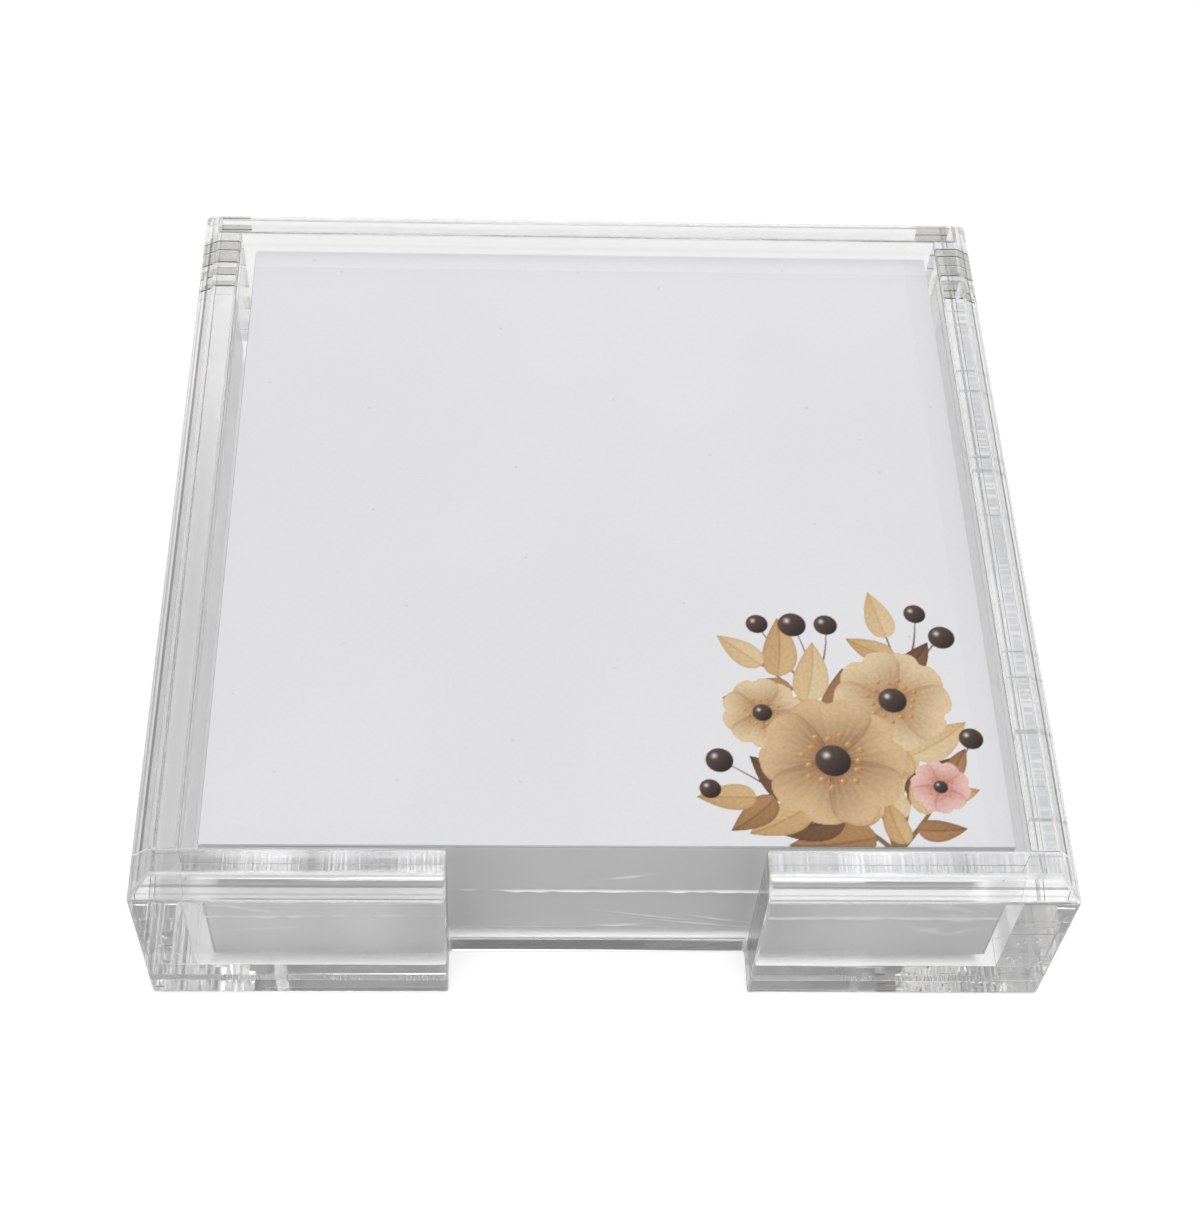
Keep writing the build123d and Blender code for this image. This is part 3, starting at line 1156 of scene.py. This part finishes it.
def floorMaterial():
    # white paper sweep: a matt floor that takes the tray's shadow, with a glow of its own for what is seen
    # of it straight, mirrored and through the acrylic
    material, tree, out = newMaterial("paperSweep")
    path = addNode(tree, "ShaderNodeLightPath")
    diffuse = addNode(tree, "ShaderNodeBsdfDiffuse", {"Color": linearColour(stageSettings["floorColour"])})
    strength = 0.0
    for ray, level in stageSettings["floorGlow"].items():
        strength = addNode(tree, "ShaderNodeMath", {0: path.outputs[ray], 1: level, 2: strength},
                           operation="MULTIPLY_ADD").outputs[0]
    place = addNode(tree, "ShaderNodeSeparateXYZ", {0: addNode(tree, "ShaderNodeTexCoord").outputs["Object"]})
    slant = addNode(tree, "ShaderNodeMath", {
        0: place.outputs["Y"], 1: stageSettings["gatheredSlant"], 2: place.outputs["X"]},
        operation="MULTIPLY_ADD")
    away = [addNode(tree, "ShaderNodeMath", {0: place.outputs[axis]}, operation="ABSOLUTE").outputs[0]
            for axis in "XY"]
    furthest = addNode(tree, "ShaderNodeMath", {0: away[0], 1: away[1]}, operation="MAXIMUM")
    inside = addNode(tree, "ShaderNodeMapRange", {
        "Value": place.outputs["Y"],
        **ends(stageSettings["gatheredFront"], (0.0, stageSettings["gathered"]))},
        interpolation_type="SMOOTHSTEP")
    edge = (halfOuter, halfOuter + stageSettings["gatheredFade"])
    for distance in away:
        inside = addNode(tree, "ShaderNodeMapRange", {
            "Value": distance, **ends(edge, (inside.outputs["Result"], stageSettings["shaded"]))},
            interpolation_type="SMOOTHSTEP")
    gathered = addNode(tree, "ShaderNodeMapRange", {
        "Value": slant.outputs[0], **ends(stageSettings["gatheredFrom"], (0.0, inside.outputs["Result"]))},
        interpolation_type="SMOOTHSTEP")
    lit = addNode(tree, "ShaderNodeMapRange", {
        "Value": furthest.outputs[0], **ends(stageSettings["stackEdge"], (stageSettings["underStack"], 1.0))},
        interpolation_type="SMOOTHSTEP")
    through = addNode(tree, "ShaderNodeMath", {
        0: gathered.outputs["Result"], 1: stageSettings["throughGlow"]})
    through = addNode(tree, "ShaderNodeMath", {0: through.outputs[0], 1: lit.outputs["Result"]},
                      operation="MULTIPLY")
    strength = addNode(tree, "ShaderNodeMath", {
        0: path.outputs["Is Transmission Ray"], 1: through.outputs[0], 2: strength},
        operation="MULTIPLY_ADD").outputs[0]
    glow = addNode(tree, "ShaderNodeEmission", {"Strength": strength})
    both = addNode(tree, "ShaderNodeAddShader", {0: diffuse.outputs[0], 1: glow.outputs[0]})
    tree.links.new(both.outputs[0], out.inputs["Surface"])
    return material


def floor():
    # one square under the tray
    half = stageSettings["floorSide"] / 2
    z = -stageSettings["floorGap"]
    corners = np.array([(-half, -half, z), (half, -half, z), (half, half, z), (-half, half, z)])
    piece = newPiece("floor", corners, [[0, 1, 2, 3]], [floorMaterial()])


def world():
    # soft light from all round; the acrylic also mirrors a dark room low down and a dark stretch of ceiling
    sky = bpy.data.worlds.new("studio")
    scene.world = sky
    sky.use_nodes = True
    tree = sky.node_tree
    tree.nodes.clear()
    path = addNode(tree, "ShaderNodeLightPath")
    seen = addNode(tree, "ShaderNodeMath", {
        0: path.outputs["Is Glossy Ray"], 1: path.outputs["Is Transmission Ray"]}, operation="MAXIMUM")
    heading = addNode(tree, "ShaderNodeTexCoord").outputs["Generated"]
    height = addNode(tree, "ShaderNodeSeparateXYZ", {0: heading})
    nearness = addNode(tree, "ShaderNodeVectorMath", {0: heading, 1: stageSettings["ceilingHeading"]},
                       operation="DOT_PRODUCT")
    # each step: what it follows, its reach, and the levels at its ends, None being the level so far
    steps = [
        (nearness.outputs["Value"], stageSettings["ceilingSpread"], (None, stageSettings["ceilingSeen"])),
        (height.outputs["Z"], stageSettings["roomHeight"], (stageSettings["roomSeen"], None)),
        (seen.outputs[0], (0.0, 1.0), (stageSettings["worldDiffuse"], None)),
        (path.outputs["Is Camera Ray"], (0.0, 1.0), (None, stageSettings["skySeen"])),
    ]
    level = stageSettings["skySeen"]
    for value, reach, levels in steps:
        levels = [level if end is None else end for end in levels]
        level = addNode(tree, "ShaderNodeMapRange", {"Value": value, **ends(reach, levels)}).outputs["Result"]
    light = addNode(tree, "ShaderNodeBackground", {"Strength": level})
    out = addNode(tree, "ShaderNodeOutputWorld")
    tree.links.new(light.outputs[0], out.inputs["Surface"])


# places and sizes in metres, power in watts
lamps = {
    "overheadSoftbox": {"place": (-0.02, -0.27, 0.95), "size": (0.5, 0.5), "power": 4.2},
    "backWindow": {"place": (0.05, 0.60, 0.30), "size": (0.8, 0.3), "power": 1.2},
}


def lamp(name, place, size, power):
    # an area lamp that looks at the origin
    data = bpy.data.lights.new(name, "AREA")
    data.shape = "RECTANGLE"
    data.size, data.size_y = size
    data.energy = power
    light = bpy.data.objects.new(name, data)
    scene.collection.objects.link(light)
    light.location = place
    light.rotation_euler = (-Vector(place)).to_track_quat("-Z", "Y").to_euler()


cameraSettings = {
    "place": (-14.50 * mm, -175.21 * mm, 254.35 * mm),
    "pitch": 54.728,  # degrees below the horizon
    "yaw": 3.285,  # degrees towards +X
    "roll": 3.124,
    "lens": 61.98,  # mm on a 36 mm long side
    "shift": 0.033,
    "clip": (10 * mm, 20.0),  # nearest and furthest that it sees
}


def camera():
    # looks ahead by its yaw and pitch, then turns about that line by its roll
    data = bpy.data.cameras.new("camera")
    data.lens = cameraSettings["lens"]
    data.shift_x = cameraSettings["shift"]
    data.clip_start, data.clip_end = cameraSettings["clip"]
    pitch, yaw, roll = (radians(cameraSettings[key]) for key in ("pitch", "yaw", "roll"))
    ahead = Vector((sin(yaw) * cos(pitch), cos(yaw) * cos(pitch), -sin(pitch)))
    level = Vector((cos(yaw), -sin(yaw), 0))
    upright = level.cross(ahead)
    right = level * cos(roll) + upright * sin(roll)
    up = upright * cos(roll) - level * sin(roll)
    turn = Matrix((right, up, -ahead)).transposed().to_4x4()
    eye = bpy.data.objects.new("camera", data)
    scene.collection.objects.link(eye)
    eye.matrix_world = Matrix.Translation(cameraSettings["place"]) @ turn
    scene.camera = eye


floor()
world()
for name, settings in lamps.items():
    lamp(name, **settings)
camera()
for kind in ("max_bounces", "transmission_bounces", "glossy_bounces"):
    setattr(scene.cycles, kind, stageSettings["bounces"])
print("stage set")
